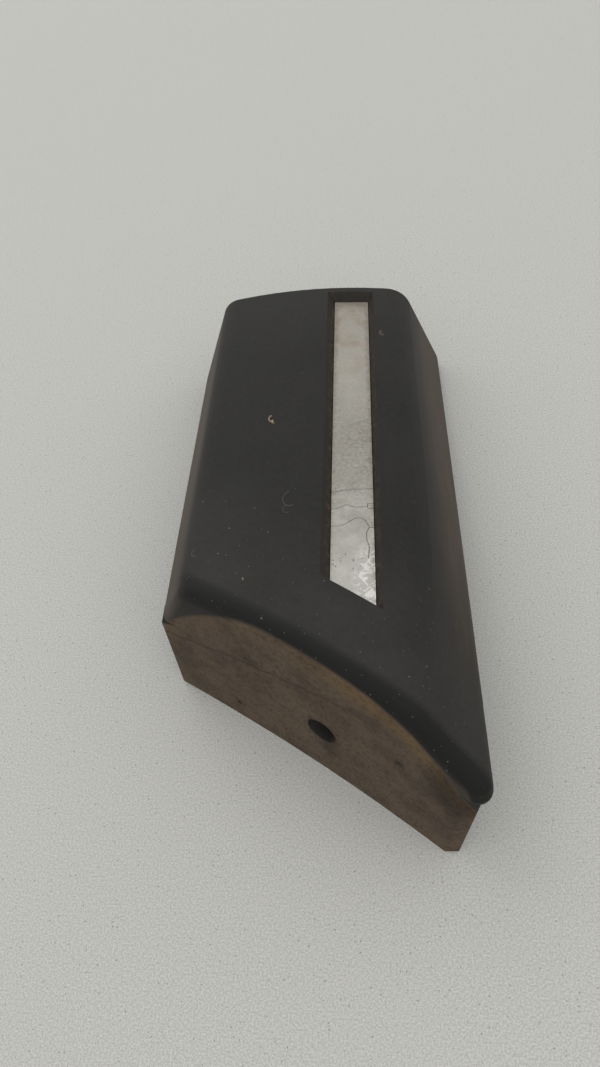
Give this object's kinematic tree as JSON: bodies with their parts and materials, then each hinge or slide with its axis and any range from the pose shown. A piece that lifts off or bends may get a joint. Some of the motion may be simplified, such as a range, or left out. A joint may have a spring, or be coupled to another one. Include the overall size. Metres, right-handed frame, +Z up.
{
  "type": "vehicle body side moulding end section",
  "caption": "Hollow black side moulding end, crowned and bevelled, with a recessed bright strip, one square end and a slanted end wall with a screw hole.",
  "frame": {"origin": "on the surface the moulding lies on, under the centre of its bounding box", "axes": "+X across the moulding towards the sloping flank and long side, +Y along it towards the square end, +Z up from the surface it lies on; the face leans down 8.5 degrees towards the square end because the end wall props up the other end"},
  "size_m": [0.0706, 0.1422, 0.0436],
  "materials": {
    "moulding_rubber": "dusty black, semi-matt",
    "insert_foil": "aged bright foil, creased and cracked",
    "insert_carrier": "dark grey strip",
    "adhesive_tape": "yellowed acrylic tape",
    "plate_steel": "dark primer with light surface rust",
    "bracket_steel": "dull zinc plate with white bloom",
    "screw_steel": "yellow zinc plate, dulled",
    "rivet_steel": "dull steel",
    "clip_nylon": "aged natural nylon",
    "seal_foam": "closed-cell foam, black",
    "pad_foam": "closed-cell foam, dark grey"
  },
  "bodies": {
    "root": {"moulding_shell": "moulding_rubber", "insert_foil": "insert_foil", "insert_carrier": "insert_carrier", "insert_adhesive": "adhesive_tape", "backing_plate": "plate_steel", "plate_screws": "screw_steel", "stud_clip_near": "clip_nylon", "stud_clip_middle": "clip_nylon", "stud_clip_far": "clip_nylon", "clip_seal_near": "seal_foam", "clip_seal_middle": "seal_foam", "clip_seal_far": "seal_foam", "anti_rattle_pad_left": "pad_foam", "anti_rattle_pad_right": "pad_foam", "end_bracket": "bracket_steel", "bracket_rivets": "rivet_steel"}
  },
  "joints": []
}
